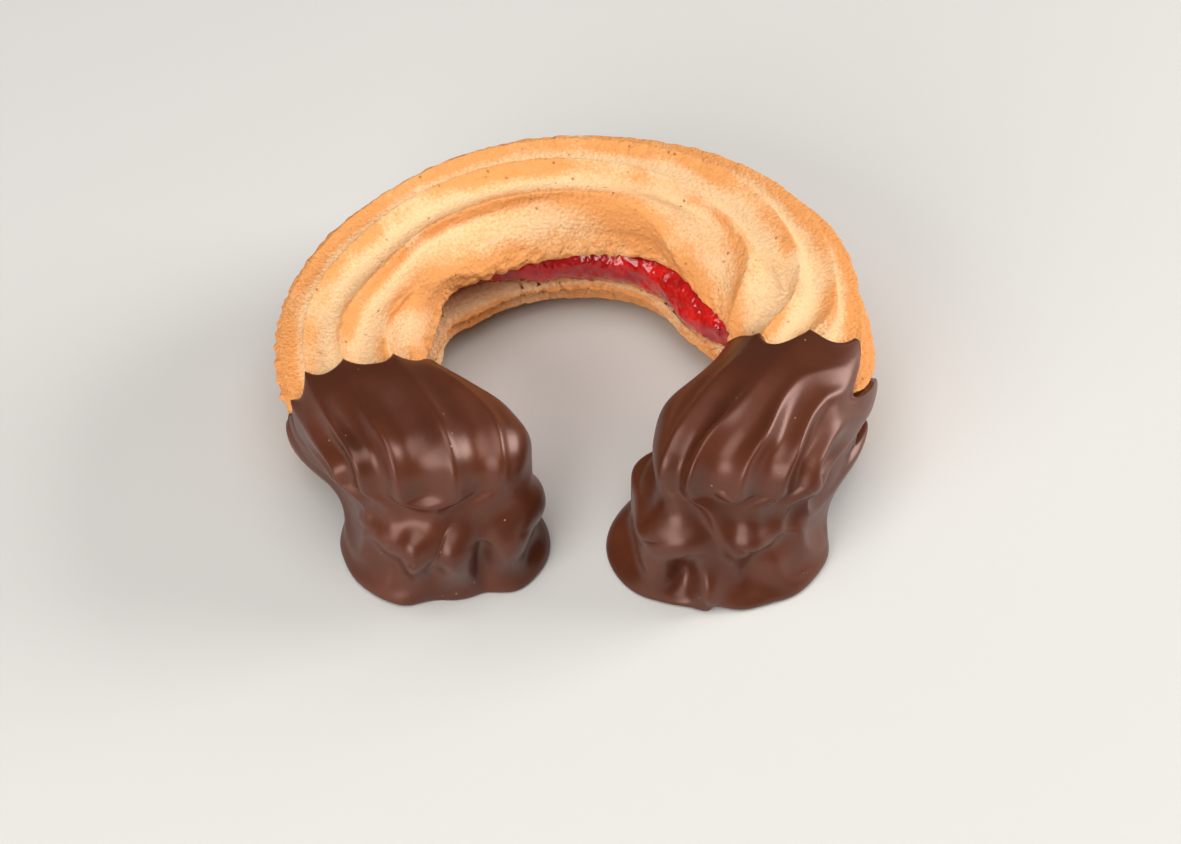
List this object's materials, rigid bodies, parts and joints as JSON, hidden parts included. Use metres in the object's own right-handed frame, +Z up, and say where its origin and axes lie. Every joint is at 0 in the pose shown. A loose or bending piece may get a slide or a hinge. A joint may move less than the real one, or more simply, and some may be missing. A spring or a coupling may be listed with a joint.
{
  "type": "sandwich biscuit",
  "caption": "Crescent-shaped piped shortbread sandwich with a red jam filling and both ends dipped in dark chocolate",
  "frame": {"origin": "on the ground below the middle of the whole piece", "axes": "+X to the right in the picture, across both legs; +Y towards the closed back; +Z up"},
  "size_m": [0.068, 0.0582, 0.0226],
  "materials": {
    "upper_biscuit": "dry crumbly baked shortbread",
    "lower_biscuit": "dry crumbly baked shortbread",
    "jam": "wet glossy jam",
    "chocolate_left": "satin set chocolate",
    "chocolate_right": "satin set chocolate"
  },
  "bodies": {
    "root": {"upper_biscuit": "upper_biscuit", "lower_biscuit": "lower_biscuit", "jam": "jam", "chocolate_left": "chocolate_left", "chocolate_right": "chocolate_right"}
  },
  "joints": []
}
